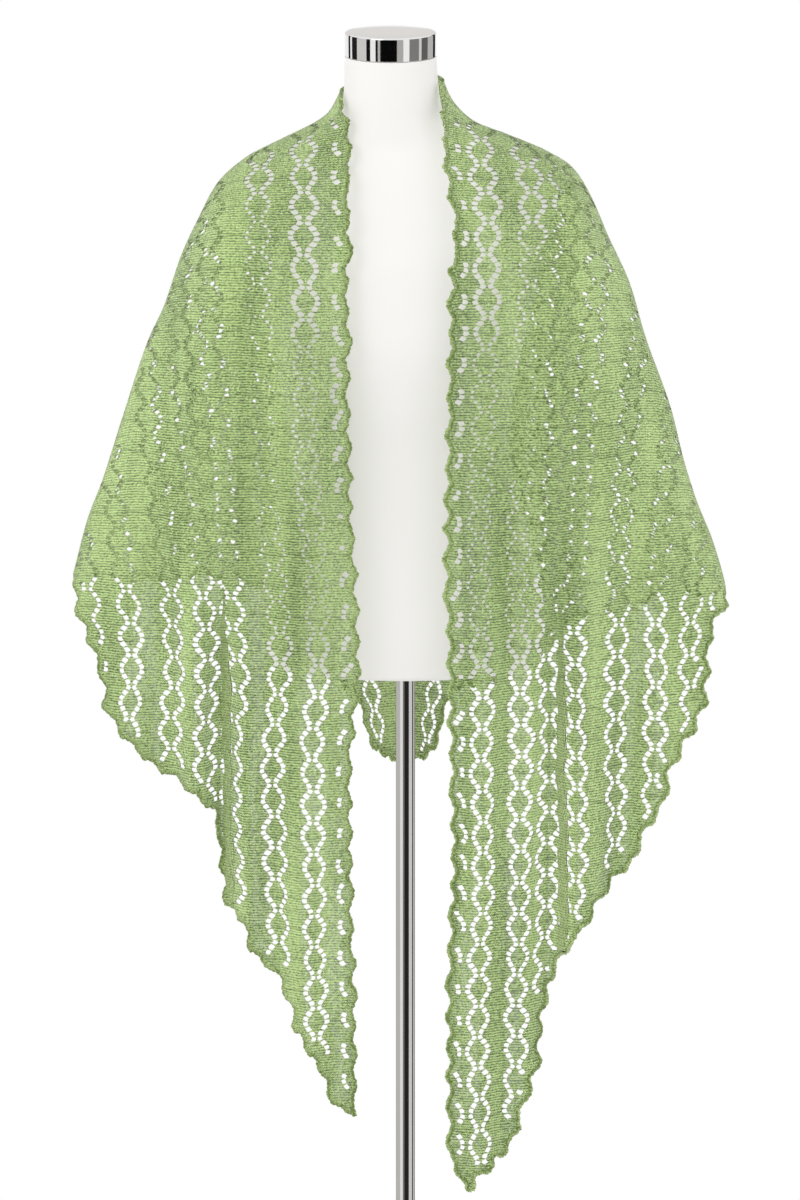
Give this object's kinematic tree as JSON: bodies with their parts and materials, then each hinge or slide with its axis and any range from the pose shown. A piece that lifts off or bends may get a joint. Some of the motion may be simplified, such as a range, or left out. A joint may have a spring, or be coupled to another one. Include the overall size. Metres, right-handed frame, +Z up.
{
  "type": "lace shawl wrap on a limbless dress form",
  "caption": "Green lace-knit triangular wrap with scalloped edges, hanging open at the front over a white limbless dress form on a chrome pole and round foot.",
  "frame": {"origin": "centre of the underside of the base plate, on the pole's axis", "axes": "+Z up along the pole; -Y is the front, where the wrap hangs open; +X is the viewer's right from the front"},
  "size_m": [0.7214, 0.33, 1.616],
  "materials": {
    "knit": "matte lace knitting in spring green",
    "form_shell": "satin white shell",
    "chrome": "polished"
  },
  "bodies": {
    "root": {"wrap_left": "knit", "wrap_right": "knit", "form_torso": "form_shell", "neck_cap": "chrome", "pole": "chrome", "base_plate": "chrome"}
  },
  "joints": []
}
